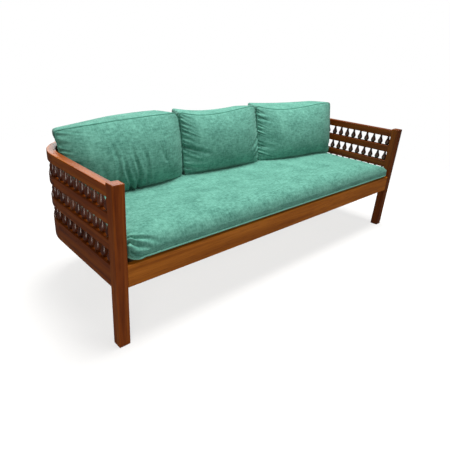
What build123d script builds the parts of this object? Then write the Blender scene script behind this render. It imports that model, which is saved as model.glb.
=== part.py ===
"""Three-seat sofa with a spindle-gallery frame, in millimetres.

A U-shaped wooden gallery with rounded rear corners holds one long seat cushion and three
loose back cushions. The origin is on the floor under the middle of the sofa, with +X along
its length, +Y to the back and +Z up. Left and right are as seen from the front.
"""

from build123d import *
from math import cos, pi, radians, sin, sqrt, tan
import os

# Overall size and posts
WIDTH = 1980.0
DEPTH = 750.0
POST_WIDTH = 46.0
POST_DEPTH = 44.0
POST_HEIGHT = 633.0
POST_ARRIS = 2.5

# Gallery rails: four tiers round the U, the lowest one a deep apron
RAIL_THICK = 35.0
RAIL_HEIGHT = 40.0
RAIL_SETBACK = 1.5
RAIL_ARRIS = 2.5
APRON_Z = 246.0
APRON_HEIGHT = 88.0
ROW_HEIGHT = 56.0
CORNER_RADIUS = 262.0

# Mortise and tenon joints
TENON_LENGTH = 16.0
TENON_THICK = 12.0
TENON_SHOULDER = 6.0

# Turned spindles: height and radius of the small foot, the round bulb, its shoulder and the slim neck
SPINDLE_RINGS = ((0.0, 7.0), (8.0, 13.0), (18.0, 15.0), (36.0, 8.2), (ROW_HEIGHT, 5.8))
SPINDLE_SIDES = 8
SPINDLE_PITCH = 47.7
SPINDLE_END_GAP = 21.7
CORNER_FIRST_GAP = 12.0
CORNER_SPINDLES = 8
BACK_SPINDLES = 29

# Front rail and the slatted deck behind it
FRONT_RAIL_THICK = 25.0
DECK_TOP = 326.0
SLAT_THICK = 16.0
SLAT_WIDTH = 72.0
SLAT_COUNT = 6
SLAT_END_GAP = 4.0
SLAT_EDGE_GAP = 10.0
BEARER_WIDTH = 25.0
BEARER_HEIGHT = 50.0
BEARER_XS = (-640.0, -215.0, 215.0, 640.0)
BEARER_TENON_HEIGHT = 34.0
BEARER_TENON_THICK = 10.0
BEARER_TENON_LENGTH = 12.0
LEDGER_WIDTH = 24.0
LEDGER_HEIGHT = 34.0

# Seat cushion: height above the floor and how far each level is drawn in from the widest
SEAT_GAP = 0.5
SEAT_CLEARANCE = 12.5
SEAT_FRONT_Y = -360.0
SEAT_FRONT_RADIUS = 34.0
SEAT_TOP = 434.0
SEAT_LEVELS = ((DECK_TOP + SEAT_GAP, 18.0), (342.0, 6.0), (378.0, 0.0), (408.0, 4.0),
               (422.0, 20.0), (429.0, 56.0), (SEAT_TOP, 150.0))
# The seat's worn right end: distance along the sofa and height where its top starts to fall, bends and ends
SEAT_FALL = ((661.0, SEAT_TOP), (885.0, 403.0), (941.0, 370.0))

# Back cushions: boxed, crowned front and rear, leaning back on the gallery
CUSHION_GAP = 1.5
CUSHION_REAR_LEAN = 10.0
CUSHION_CORNER = 26.0
CUSHION_FRONT_CROWN = 46.0
CUSHION_REAR_CROWN = 14.0
CUSHION_TOP_CROWN = 4.0
CUSHION_END_CROWN = 1.0
# Where the cross-sections stand, as shares of half the width from the middle
CUSHION_STATIONS = (-1.0, -0.97, -0.9, -0.65, -0.3, 0.0, 0.3, 0.65, 0.9, 0.97, 1.0)
# The crowned sides of a cross-section, each from one seam over its fullest point to the next seam
CUSHION_SIDES = (("heel", "rear", "crest"), ("crest", "top", "brow"), ("brow", "front", "toe"))
# Each cushion's ends, then its values at the left end, the middle and the right end: how far back its front
# and rear foot stand, the lean of its front in degrees, and how high its front and rear seams are; the taper
# draws in the rear foot's two ends, and the skew lifts the right half of the top over the left half
LEFT_CUSHION = {"ends": (-944.0, -350.0), "front": (111.0, 56.0, 94.0), "lean": (10.0, 14.0, 10.0),
                "rear": (246.0, 236.0, 252.0), "front_top": (699.0, 732.0, 740.0),
                "rear_top": (692.0, 720.0, 729.0), "taper": (84.0, 4.0), "skew": 0.0}
CENTRE_CUSHION = {"ends": (-338.0, 213.0), "front": (94.0, 80.0, 78.0), "lean": (10.4, 13.0, 16.6),
                  "rear": (252.0, 254.0, 270.0), "front_top": (742.0, 722.0, 742.0),
                  "rear_top": (727.0, 704.0, 712.0), "taper": (4.0, 4.0), "skew": 18.0}
RIGHT_CUSHION = {"ends": (225.0, 897.0), "front": (94.0, 27.0, 50.0), "lean": (13.5, 17.9, 8.3),
                 "rear": (268.0, 234.0, 190.0), "front_top": (742.0, 719.0, 739.0),
                 "rear_top": (729.0, 714.0, 722.0), "taper": (64.0, 28.0), "skew": 25.0}

# Places worked out from the sizes above
HALF_WIDTH = WIDTH / 2
HALF_DEPTH = DEPTH / 2
RAIL_MID = RAIL_SETBACK + RAIL_THICK / 2
ARM_X = HALF_WIDTH - RAIL_MID
BACK_Y = HALF_DEPTH - RAIL_MID
CORNER_X = HALF_WIDTH - CORNER_RADIUS
CORNER_Y = HALF_DEPTH - CORNER_RADIUS
CORNER_MID = CORNER_RADIUS - RAIL_MID
ARM_START = -HALF_DEPTH + POST_DEPTH
ARM_LENGTH = CORNER_Y - ARM_START
REAR_POST_INNER = CORNER_X - POST_WIDTH
FRONT_POST_INNER = HALF_WIDTH - POST_WIDTH
FRONT_RAIL_Y = -HALF_DEPTH + RAIL_SETBACK + FRONT_RAIL_THICK / 2
FRONT_RAIL_INNER = FRONT_RAIL_Y + FRONT_RAIL_THICK / 2
BACK_INNER_Y = BACK_Y - RAIL_THICK / 2
ARM_INNER_X = ARM_X - RAIL_THICK / 2
SLAT_BOTTOM = DECK_TOP - SLAT_THICK
BEARER_MID_Z = SLAT_BOTTOM - BEARER_HEIGHT / 2
BEARER_TENON_Z = (BEARER_MID_Z - BEARER_TENON_HEIGHT / 2, BEARER_MID_Z + BEARER_TENON_HEIGHT / 2)
TIER_STEP = RAIL_HEIGHT + ROW_HEIGHT
FIRST_ROW_Z = APRON_Z + APRON_HEIGHT
TIERS = {"apron": (APRON_Z, APRON_HEIGHT),
         "lower_rail": (FIRST_ROW_Z + ROW_HEIGHT, RAIL_HEIGHT),
         "middle_rail": (FIRST_ROW_Z + ROW_HEIGHT + TIER_STEP, RAIL_HEIGHT),
         "top_rail": (FIRST_ROW_Z + ROW_HEIGHT + 2 * TIER_STEP, RAIL_HEIGHT)}
ROWS = {"lower": FIRST_ROW_Z, "middle": FIRST_ROW_Z + TIER_STEP, "upper": FIRST_ROW_Z + 2 * TIER_STEP}

os.makedirs("parts", exist_ok=True)


def save(builder, name):
    """Label a finished piece and write it to its own file."""
    builder.part.label = name
    export_step(builder.part, f"parts/{name}.step")


def save_mirrored(builder, name):
    """Write the same piece for the other end of the sofa."""
    with BuildPart() as other:
        mirror(builder.part, about=Plane.YZ)
    save(other, name)


def block(x_range, y_range, z_range, mode=Mode.ADD):
    """Add or cut a square-edged block given by its limits."""
    with Locations((sum(x_range) / 2, sum(y_range) / 2, sum(z_range) / 2)):
        Box(x_range[1] - x_range[0], y_range[1] - y_range[0], z_range[1] - z_range[0], mode=mode)


def tenon_limits(middle, thick=TENON_THICK):
    """Limits of a tenon's thickness about the middle of its rail."""
    return (middle - thick / 2, middle + thick / 2)


def tenon_heights(z, height):
    """Limits of a tenon's height inside its shoulders."""
    return (z + TENON_SHOULDER, z + height - TENON_SHOULDER)


def rail_outline(sketch, middle, z, height, thick=RAIL_THICK):
    """Draw a rail's cross-section, with eased arrises, in an open sketch."""
    with Locations((middle, z + height / 2)):
        Rectangle(thick, height)
    chamfer(sketch.vertices(), RAIL_ARRIS)


def make_front_post():
    """Right front post, floor to just above the arm, with five mortises."""
    with BuildPart() as post:
        block((FRONT_POST_INNER, HALF_WIDTH), (-HALF_DEPTH, ARM_START), (0, POST_HEIGHT))
        chamfer(post.edges().filter_by(Axis.Z), POST_ARRIS)
        chamfer(post.faces().sort_by(Axis.Z)[-1].edges(), POST_ARRIS)
        for z, height in TIERS.values():
            block(tenon_limits(ARM_X), (ARM_START - TENON_LENGTH, ARM_START),
                  tenon_heights(z, height), Mode.SUBTRACT)
        block((FRONT_POST_INNER, FRONT_POST_INNER + TENON_LENGTH), tenon_limits(FRONT_RAIL_Y),
              tenon_heights(APRON_Z, APRON_HEIGHT), Mode.SUBTRACT)
    save(post, "front_post_right")
    save_mirrored(post, "front_post_left")


def make_rear_post():
    """Right rear post, where the rounded corner meets the back, mortised on both sides."""
    with BuildPart() as post:
        block((REAR_POST_INNER, CORNER_X), (HALF_DEPTH - POST_DEPTH, HALF_DEPTH), (0, POST_HEIGHT))
        chamfer(post.edges().filter_by(Axis.Z), POST_ARRIS)
        chamfer(post.faces().sort_by(Axis.Z)[-1].edges(), POST_ARRIS)
        for z, height in TIERS.values():
            block((CORNER_X - TENON_LENGTH, CORNER_X), tenon_limits(BACK_Y),
                  tenon_heights(z, height), Mode.SUBTRACT)
            block((REAR_POST_INNER, REAR_POST_INNER + TENON_LENGTH), tenon_limits(BACK_Y),
                  tenon_heights(z, height), Mode.SUBTRACT)
    save(post, "rear_post_right")
    save_mirrored(post, "rear_post_left")


def make_front_rail():
    """Front seat rail between the front posts, mortised behind for the bearers."""
    with BuildPart() as rail:
        with BuildSketch(Plane.YZ.offset(-FRONT_POST_INNER)) as outline:
            rail_outline(outline, FRONT_RAIL_Y, APRON_Z, APRON_HEIGHT, FRONT_RAIL_THICK)
        extrude(amount=2 * FRONT_POST_INNER)
        reach = FRONT_POST_INNER + TENON_LENGTH
        heights = tenon_heights(APRON_Z, APRON_HEIGHT)
        block((-reach, -FRONT_POST_INNER), tenon_limits(FRONT_RAIL_Y), heights)
        block((FRONT_POST_INNER, reach), tenon_limits(FRONT_RAIL_Y), heights)
        for x in BEARER_XS:
            block(tenon_limits(x, BEARER_TENON_THICK),
                  (FRONT_RAIL_INNER - BEARER_TENON_LENGTH, FRONT_RAIL_INNER),
                  BEARER_TENON_Z, Mode.SUBTRACT)
    save(rail, "front_seat_rail")


def make_arm_rail(tier, z, height):
    """Straight arm rail: tenoned into the front post, mortised for the corner's loose tenon."""
    with BuildPart() as rail:
        with BuildSketch(Plane.XZ.offset(-ARM_START)) as outline:
            rail_outline(outline, ARM_X, z, height)
        extrude(amount=-ARM_LENGTH)
        heights = tenon_heights(z, height)
        block(tenon_limits(ARM_X), (ARM_START - TENON_LENGTH, ARM_START), heights)
        block(tenon_limits(ARM_X), (CORNER_Y - TENON_LENGTH, CORNER_Y), heights, Mode.SUBTRACT)
    save(rail, f"{tier}_right_arm")
    save_mirrored(rail, f"{tier}_left_arm")


def make_corner_rail(tier, z, height):
    """Rounded corner rail: a quarter turn from the arm to the rear post."""
    with BuildPart() as rail:
        with BuildSketch(Plane.XZ.offset(-CORNER_Y)) as outline:
            rail_outline(outline, ARM_X, z, height)
        revolve(axis=Axis((CORNER_X, CORNER_Y, 0), (0, 0, 1)), revolution_arc=90)
        heights = tenon_heights(z, height)
        block((CORNER_X - TENON_LENGTH, CORNER_X), tenon_limits(BACK_Y), heights)
        block(tenon_limits(ARM_X), (CORNER_Y, CORNER_Y + TENON_LENGTH), heights, Mode.SUBTRACT)
    save(rail, f"{tier}_right_corner")
    save_mirrored(rail, f"{tier}_left_corner")


def make_back_rail(tier, z, height):
    """Back rail between the rear posts, the apron also mortised for the bearers."""
    with BuildPart() as rail:
        with BuildSketch(Plane.YZ.offset(-REAR_POST_INNER)) as outline:
            rail_outline(outline, BACK_Y, z, height)
        extrude(amount=2 * REAR_POST_INNER)
        reach = REAR_POST_INNER + TENON_LENGTH
        heights = tenon_heights(z, height)
        block((-reach, -REAR_POST_INNER), tenon_limits(BACK_Y), heights)
        block((REAR_POST_INNER, reach), tenon_limits(BACK_Y), heights)
        if tier == "apron":
            for x in BEARER_XS:
                block(tenon_limits(x, BEARER_TENON_THICK),
                      (BACK_INNER_Y, BACK_INNER_Y + BEARER_TENON_LENGTH), BEARER_TENON_Z, Mode.SUBTRACT)
    save(rail, f"{tier}_back")


def make_corner_tenons():
    """Loose tenons that join each arm rail to its corner rail."""
    with BuildPart() as tenons:
        for z, height in TIERS.values():
            for side in (-1, 1):
                block(tenon_limits(side * ARM_X), (CORNER_Y - TENON_LENGTH, CORNER_Y + TENON_LENGTH),
                      tenon_heights(z, height))
    save(tenons, "corner_tenons")


def make_spindles():
    """Rows of turned spindles between the tiers, one group for each run of each row."""
    with BuildPart() as spindle:
        for z, radius in SPINDLE_RINGS:
            with BuildSketch(Plane.XY.offset(z)):
                RegularPolygon(radius, SPINDLE_SIDES)
        loft(ruled=True)
    arm_count = int((ARM_LENGTH - SPINDLE_END_GAP) / SPINDLE_PITCH) + 1
    arm_run = [(ARM_X, ARM_START + SPINDLE_END_GAP + SPINDLE_PITCH * k) for k in range(arm_count)]
    arc_length = CORNER_MID * pi / 2
    arc_pitch = (arc_length - CORNER_FIRST_GAP - SPINDLE_END_GAP) / (CORNER_SPINDLES - 1)
    angles = [(CORNER_FIRST_GAP + arc_pitch * k) / CORNER_MID for k in range(CORNER_SPINDLES)]
    corner_run = [(CORNER_X + CORNER_MID * cos(a), CORNER_Y + CORNER_MID * sin(a)) for a in angles]
    back_half = REAR_POST_INNER - SPINDLE_END_GAP
    back_pitch = 2 * back_half / (BACK_SPINDLES - 1)
    back_run = [(-back_half + back_pitch * k, BACK_Y) for k in range(BACK_SPINDLES)]
    for row, z in ROWS.items():
        for run, places in (("arm", arm_run), ("corner", corner_run)):
            for side, sign in (("left", -1), ("right", 1)):
                with BuildPart() as group:
                    with Locations([(sign * x, y, z) for x, y in places]):
                        add(spindle.part)
                save(group, f"spindles_{row}_{side}_{run}")
        with BuildPart() as group:
            with Locations([(x, y, z) for x, y in back_run]):
                add(spindle.part)
        save(group, f"spindles_{row}_back")


def make_deck():
    """Front-to-back bearers, side ledgers and the lengthwise slats that carry the seat cushion."""
    for number, x in enumerate(BEARER_XS, start=1):
        with BuildPart() as bearer:
            block(tenon_limits(x, BEARER_WIDTH), (FRONT_RAIL_INNER, BACK_INNER_Y),
                  (SLAT_BOTTOM - BEARER_HEIGHT, SLAT_BOTTOM))
            block(tenon_limits(x, BEARER_TENON_THICK),
                  (FRONT_RAIL_INNER - BEARER_TENON_LENGTH, BACK_INNER_Y + BEARER_TENON_LENGTH),
                  BEARER_TENON_Z)
        save(bearer, f"bearer_{number}")
    with BuildPart() as ledger:
        block((ARM_INNER_X - LEDGER_WIDTH, ARM_INNER_X), (ARM_START, CORNER_Y),
              (SLAT_BOTTOM - LEDGER_HEIGHT, SLAT_BOTTOM))
    save(ledger, "side_ledger_right")
    save_mirrored(ledger, "side_ledger_left")
    first = FRONT_RAIL_INNER + SLAT_EDGE_GAP + SLAT_WIDTH / 2
    last = HALF_DEPTH - POST_DEPTH - SLAT_EDGE_GAP - SLAT_WIDTH / 2
    pitch = (last - first) / (SLAT_COUNT - 1)
    for number in range(SLAT_COUNT):
        y = first + pitch * number
        rear_edge = y + SLAT_WIDTH / 2
        half_length = FRONT_POST_INNER - SLAT_END_GAP
        if rear_edge > CORNER_Y:
            inner_radius = CORNER_MID - RAIL_THICK / 2 - SLAT_END_GAP
            half_length = CORNER_X + (inner_radius ** 2 - (rear_edge - CORNER_Y) ** 2) ** 0.5
        with BuildPart() as slat:
            block((-half_length, half_length), (y - SLAT_WIDTH / 2, rear_edge), (SLAT_BOTTOM, DECK_TOP))
            chamfer(slat.faces().sort_by(Axis.Z)[-1].edges().filter_by(Axis.X), RAIL_ARRIS)
        save(slat, f"seat_slat_{number + 1}")


def make_seat_cushion():
    """Long seat cushion: crowned on top, sides drawn in, rear corners rounded, its right end sunk."""
    with BuildPart() as seat:
        for z, inset in SEAT_LEVELS:
            side = ARM_INNER_X - SEAT_CLEARANCE - inset
            rear_radius = side - CORNER_X
            rear = CORNER_Y + rear_radius
            front = SEAT_FRONT_Y + inset
            reach = rear_radius * sin(pi / 4)
            with BuildSketch(Plane.XY.offset(z)) as level:
                with BuildLine():
                    Line((-side, front), (side, front))
                    Line((side, front), (side, CORNER_Y))
                    ThreePointArc((side, CORNER_Y), (CORNER_X + reach, CORNER_Y + reach), (CORNER_X, rear))
                    Line((CORNER_X, rear), (-CORNER_X, rear))
                    ThreePointArc((-CORNER_X, rear), (-CORNER_X - reach, CORNER_Y + reach), (-side, CORNER_Y))
                    Line((-side, CORNER_Y), (-side, front))
                make_face()
                fillet(level.vertices().group_by(Axis.Y)[0], SEAT_FRONT_RADIUS)
        loft(ruled=True)
        for (start, height), (stop, lower) in zip(SEAT_FALL, SEAT_FALL[1:]):
            slope = Plane(origin=(start, 0, height), x_dir=(0, 1, 0), z_dir=(height - lower, 0, stop - start))
            split(bisect_by=slope, keep=Keep.BOTTOM)
    save(seat, "seat_cushion")


def through(values, share):
    """A smooth curve through a value at the left end (-1), the middle (0) and the right end (1)."""
    left, middle, right = values
    return left * share * (share - 1) / 2 + middle * (1 - share ** 2) + right * share * (share + 1) / 2


def seat_height(x):
    """Height at which a back cushion's foot stands on the seat cushion."""
    (start, height), (stop, lower) = SEAT_FALL[:2]
    return height + CUSHION_GAP - max(0.0, x - start) * (height - lower) / (stop - start)


def make_back_cushion(name, place):
    """Loose back cushion, leaning back, lofted along its width through crowned cross-sections."""
    left, right = place["ends"]
    half = (right - left) / 2
    left_taper, right_taper = place["taper"]
    upright = Vector(0, tan(radians(CUSHION_REAR_LEAN)), 1)
    with BuildPart() as cushion:
        for share in CUSHION_STATIONS:
            into_corner = max(0.0, CUSHION_CORNER - (1 - abs(share)) * half)
            drop = CUSHION_CORNER - sqrt(CUSHION_CORNER ** 2 - into_corner ** 2)
            fullness = 1 - share ** 4
            front_crown = CUSHION_END_CROWN + CUSHION_FRONT_CROWN * fullness
            rear_crown = CUSHION_END_CROWN + CUSHION_REAR_CROWN * fullness
            top_crown = CUSHION_END_CROWN + CUSHION_TOP_CROWN * fullness
            front_x = left + (1 + share) * half
            rear_x = front_x + left_taper * max(0.0, -share) - right_taper * max(0.0, share)
            front_upright = Vector(0, tan(radians(through(place["lean"], share))), 1)
            skew = place["skew"] * share * (1 - share ** 2)
            toe = Vector(front_x, through(place["front"], share), seat_height(front_x)) + front_upright * drop
            heel = Vector(rear_x, through(place["rear"], share), seat_height(rear_x)) + upright * drop
            brow = toe + front_upright * (through(place["front_top"], share) + skew - drop - toe.Z)
            crest = heel + upright * (through(place["rear_top"], share) + skew - drop - heel.Z)
            across = (heel - toe).normalized()
            rear = (heel + crest) / 2 + across * rear_crown
            top = (crest + brow) / 2 + upright * top_crown
            front = (brow + toe) / 2 - across * front_crown
            section = Plane(origin=toe, x_dir=across, z_dir=across.cross(upright))
            flat = {}
            for key, point in {"toe": toe, "heel": heel, "rear": rear, "crest": crest, "top": top,
                               "brow": brow, "front": front}.items():
                local = section.to_local_coords(point)
                flat[key] = (local.X, local.Y)
            with BuildSketch(section):
                with BuildLine():
                    Line(flat["toe"], flat["heel"])
                    for arc in CUSHION_SIDES:
                        ThreePointArc([flat[key] for key in arc])
                make_face()
        loft(ruled=True)
    save(cushion, name)


make_front_post()
make_rear_post()
make_front_rail()
for tier, (z, height) in TIERS.items():
    make_arm_rail(tier, z, height)
    make_corner_rail(tier, z, height)
    make_back_rail(tier, z, height)
make_corner_tenons()
make_spindles()
make_deck()
make_seat_cushion()
make_back_cushion("back_cushion_left", LEFT_CUSHION)
make_back_cushion("back_cushion_centre", CENTRE_CUSHION)
make_back_cushion("back_cushion_right", RIGHT_CUSHION)
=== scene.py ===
import bmesh
import bpy
import math
import numpy
import random
from mathutils import Matrix, Vector, noise


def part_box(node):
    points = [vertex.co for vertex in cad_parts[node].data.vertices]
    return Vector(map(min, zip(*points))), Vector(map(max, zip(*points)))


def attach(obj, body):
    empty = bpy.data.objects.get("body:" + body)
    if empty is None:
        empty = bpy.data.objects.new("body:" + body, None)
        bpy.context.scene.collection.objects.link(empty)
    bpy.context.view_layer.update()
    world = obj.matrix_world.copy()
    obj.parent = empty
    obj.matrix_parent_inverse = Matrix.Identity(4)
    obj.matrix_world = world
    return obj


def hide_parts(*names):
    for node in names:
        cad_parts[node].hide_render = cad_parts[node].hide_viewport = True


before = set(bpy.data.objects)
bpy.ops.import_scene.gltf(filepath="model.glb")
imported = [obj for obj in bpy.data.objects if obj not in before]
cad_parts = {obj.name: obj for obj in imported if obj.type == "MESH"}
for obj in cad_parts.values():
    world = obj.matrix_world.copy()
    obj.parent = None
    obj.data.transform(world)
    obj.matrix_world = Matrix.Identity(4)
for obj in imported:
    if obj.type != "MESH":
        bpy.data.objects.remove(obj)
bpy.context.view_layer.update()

# Three-seat sofa: a polished gallery frame with turned spindles, a planed deck and four filled cushions

# Camera of the photograph, in pixels of its 450 by 450 frame, and its place in metres and degrees
PHOTO_SIZE = 450
PHOTO_FOCAL = 395.5
PHOTO_CENTRE = (211.0, 220.0)
CAMERA_PLACE = (-1.537, -1.422, 1.038)
CAMERA_TURN = (66.338, -3.007, -41.399)
SENSOR = 36.0

# Studio: the surround's light, the floor, and the place, target, size, power and colour of each lamp
SKY_LIGHT = 0.08
FLOOR_TONES = (0.86, 0.90)
FLOOR_GLOW = 0.30
FLOOR_FADE = (1.4, 3.2)
FLOOR_CLEAR = 0.6
FLOOR_MARGIN = 0.1
LAMPS = {
    "overhead": ((0.3, 0.1, 4.4), (0.1, 0.0, 0.4), 2.2, 280, (1.0, 0.98, 0.95)),
    "front": ((1.2, -2.9, 2.3), (-0.2, 0.0, 0.4), 1.0, 15, (1.0, 0.97, 0.92)),
    "left": ((-2.4, -1.9, 1.2), (-0.9, -0.1, 0.4), 0.9, 15, (1.0, 0.95, 0.88)),
    "behind": ((0.8, 3.4, 1.7), (0.0, 0.0, 0.5), 2.2, 45, (1.0, 0.97, 0.94)),
}

# Polished frame: the arrises, the grain's scale along and across it, and the tone of each piece, with
# painted shade on the right arm and its corner
POST_ROUND = 0.0035
RAIL_ROUND = 0.003
END_EASE = 0.0007
ROUND_STEPS = 3
CORNER_STEPS = 28
STREAKS = (1.6, 34.0, 34.0)
PORES = (14.0, 620.0, 620.0)
PLANED_STREAKS = (1.2, 40.0, 40.0)
COAT_ROUGHNESS = 0.18
GRAIN_SEED = 11
GRAIN_SHIFT = 9
TONES = (0.88, 1.06)
FRONT_RAIL_TONE = 1.0
# Painted shade: the right arm's rails and spindles and its front post are darkened as if they stood in
# shadow
SIDE_PAINTED_SHADE = {"left": 1.0, "right": 0.56}
# Painted shade: the right corner rails are darkened, less than the arm, as if in shadow
CORNER_PAINTED_SHADE = {"left": 1.0, "right": 0.78}

# Turned spindles: radius and height of each ring, from the foot through the bulb to the neck, how many
# stand in each run, the bulb's radius, and the gaps at the ends of a corner
SPINDLE_STEPS = 12
SPINDLE_RINGS = ((0.0066, 0.0), (0.0105, 0.0045), (0.0139, 0.0105), (0.0149, 0.0165), (0.0136, 0.0235),
                 (0.0101, 0.0315), (0.0070, 0.041), (0.0056, 0.050), (0.0061, 0.056))
SPINDLES = {"arm": 9, "corner": 8, "back": 29}
BULB = 0.015
CORNER_FIRST_GAP = 0.012
CORNER_LAST_GAP = 0.0217

# Woven cloth: noise scale, detail and share of its slubs, yarns, specks and mottling, its spread from
# dark to light, one thread's width and its gloss
SLUBS = ((42.0, 120.0, 1.0), 2.0, 0.62)
YARNS = ((130.0, 52.0, 1.0), 2.0, 0.40)
SPECKS = ((260.0, 260.0, 1.0), 1.0, 0.34)
MOTTLING = ((10.0, 14.0, 1.0), 4.0, 0.56)
CLOTH_SPREAD = (0.70, 1.22)
THREAD = 0.0016
SHEEN = 0.10
CLOTH_GLOSS = 0.12
CORD_YARNS = 420.0

# Seat cushion: its outline's corners, its undercut foot, the roll of its edges as width and height,
# its crown, its sunk right end as inset and height, and the hollow under the back cushions
SEAT_STEP = 0.012
SEAT_OVERHANG = 0.017
SEAT_CORNER_REAR = 0.213
SEAT_CORNER_FRONT = 0.034
SEAT_FOOT_INSET = 0.044
SEAT_FOOT_RISE = 0.445
SEAT_TOP = 0.4328
SEAT_LONG_ROLL = (0.078, 0.050)
SEAT_END_ROLL = (0.028, 0.018)
SEAT_CROWN = 0.008
SEAT_CROWN_REACH = 0.22
SEAT_RIGHT_TOP = ((0.004, 0.372), (0.030, 0.394), (0.070, 0.405),
                  (0.130, 0.416), (0.240, 0.4275), (0.330, 0.4328))
SEAT_SAG = 0.005
SEAT_SAG_FROM = (-0.16, 0.02)
SEAT_CLEAR = 0.0026
SEAT_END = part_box("seat_cushion")[1].x
SEAT_PIPING_ROW = 4
SEAT_PIPING = 0.0034
SEAT_PIPING_PROUD = 0.002

# Back cushions. At the left end, the middle and the right end: how far back the front and rear foot
# stand, the slope of the front, and the height of the front and rear top seams. At the left and right
# end: how far the rear is drawn in, the swell and splay of the end, and the rounding of the top corner.
# The skew lifts the right half of the front top seam over its left half, and the overhang carries the
# left rear out over the arm, where it clears the top rail.
BACK_STEP = 0.006
BACK_BOTTOM = 0.4304
BACKS = {
    "left": {"sides": (-0.944, -0.350), "front": (0.095, 0.056, 0.094), "lean": (0.307, 0.249, 0.176),
             "rear": (0.246, 0.236, 0.252), "top": (0.699, 0.732, 0.740),
             "rear_top": (0.684, 0.720, 0.729), "taper": (0.084, 0.004), "swell": (0.000, 0.011),
             "splay": (0.0, 0.0), "skew": 0.0, "overhang": 0.050, "corners": (0.012, 0.030)},
    "centre": {"sides": (-0.338, 0.226), "front": (0.094, 0.080, 0.078), "lean": (0.183, 0.231, 0.298),
               "rear": (0.252, 0.254, 0.270), "top": (0.742, 0.722, 0.742),
               "rear_top": (0.734, 0.711, 0.721), "taper": (0.066, 0.004), "swell": (-0.003, 0.004),
               "splay": (0.0, -0.026), "skew": 0.018, "overhang": 0.0, "corners": (0.020, 0.024)},
    "right": {"sides": (0.238, 0.897), "front": (0.094, 0.027, 0.050), "lean": (0.241, 0.322, 0.146),
              "rear": (0.268, 0.234, 0.190), "top": (0.742, 0.719, 0.739),
              "rear_top": (0.733, 0.727, 0.731), "taper": (0.086, 0.028), "swell": (-0.002, 0.003),
              "splay": (-0.028, 0.0), "skew": 0.025, "overhang": 0.0, "corners": (0.014, 0.018)},
}
REAR_LEAN = 0.176
BACK_CORNER_BOTTOM = 0.026
RAIL_CLEAR = 0.632
RAIL_CLEAR_RISE = 0.022
BACK_CROWN = 0.054
BACK_CROWN_REAR = 0.014
BACK_BAND_CROWN = 0.003
BACK_BELLY_ACROSS = 4
BACK_BELLY = (3.0, 2.2)
PIPING = 0.0028
SEAM_DEPTH = 0.003
SEAM_WIDTH = 0.006

# Each cover starts as a flat box 1 across. A point past the panel edge lies on a panel, one near a seam's
# level lies on that seam, and the weave is shifted from panel to panel.
PANEL_EDGE = 0.499
SEAM_NEAR = 0.001
PANEL_SHIFTS = (1.7, 0.6)

# Puckers of each back cushion: side, reach in from the seam, depth, pitch and seed
RUFFLES = {
    "left": ((1, 0.022, 0.0014, 0.024, 1.0), (-1, 0.045, 0.0030, 0.026, 2.0)),
    "centre": ((-1, 0.042, 0.0060, 0.021, 3.0), (1, 0.032, 0.0030, 0.024, 4.0)),
    "right": ((-1, 0.036, 0.0046, 0.016, 5.0), (1, 0.016, 0.0012, 0.025, 6.0)),
}
# How the puckers' length and height vary: middle, swing, least and most
PUCKER_LENGTHS = (0.8, 1.2, 0.3, 1.6)
PUCKER_HEIGHTS = (0.7, 1.4, 0.1, 1.4)
# Over how many pitches the length, height and phase of the puckers change, and the seeds of the first two
PUCKER_DRIFTS = (1.3, 2.4, 2.0)
PUCKER_SEEDS = (3.0, 7.0)
PUCKER_PHASE = 5
PUCKER_SLANT = 0.3
PUCKER_REACH = 3
PUCKER_TAPER = 1.5
PUCKER_START = 0.006
PUCKER_CORNER = 0.03

# Folds of each front panel: start and end as shares of its width and height from its middle, then depth
# and width
FOLDS = {
    "left": (
        ((-0.14, -0.50), (-0.16, 0.26), 0.008, 0.009), ((-0.05, -0.50), (-0.11, 0.06), 0.012, 0.008),
        ((0.02, -0.50), (-0.02, 0.20), 0.012, 0.008), ((0.10, -0.40), (0.06, 0.14), 0.008, 0.009),
        ((0.26, -0.12), (0.22, 0.18), 0.004, 0.011), ((-0.24, -0.50), (-0.27, 0.00), 0.005, 0.012),
    ),
    "centre": (
        ((-0.49, -0.04), (-0.24, -0.14), 0.008, 0.011), ((-0.49, -0.14), (-0.33, -0.16), 0.005, 0.009),
        ((-0.49, -0.36), (-0.24, -0.40), 0.008, 0.010), ((-0.49, -0.44), (-0.30, -0.49), 0.008, 0.009),
        ((0.49, -0.04), (0.27, -0.20), 0.006, 0.010), ((0.49, -0.16), (0.33, -0.30), 0.005, 0.009),
        ((0.49, -0.30), (0.36, -0.42), 0.004, 0.009),
    ),
    "right": (
        ((-0.49, 0.30), (-0.36, 0.26), 0.006, 0.009), ((-0.49, 0.38), (-0.38, 0.36), 0.005, 0.008),
        ((-0.49, -0.20), (-0.36, -0.24), 0.004, 0.010), ((0.49, -0.32), (0.30, -0.44), 0.004, 0.012),
    ),
}
# Folds at the seat's left front corner, in metres across from its middle and up its front, then back over
# its top. The pinch is the right, rear and low bound of the finer mesh that takes them.
SEAT_FOLDS = (((-0.935, 0.068), (-0.845, 0.048), 0.014, 0.0050),
              ((-0.935, 0.086), (-0.805, 0.056), 0.013, 0.0055),
              ((-0.935, 0.044), (-0.865, 0.024), 0.011, 0.0050),
              ((-0.935, 0.112), (-0.840, 0.088), 0.007, 0.0080))
SEAT_FRONT_RISE = 0.05
SEAT_PINCH = (-0.78, 0.15, -0.3)
FOLD_WANDER = 0.005
FOLD_WAVES = (40, 90)
FOLD_FADE = 0.8
FOLD_BEGIN = 4
FOLD_RIDGE = 0.45
FOLD_RIDGE_PLACE = 1.9
SEAT_UNEVEN = 0.005
SEAT_UNEVEN_SCALE = (3.1, 4.3)
SEAT_UNEVEN_SEED = 5.0
SEAT_UNEVEN_FADE = 5

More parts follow.
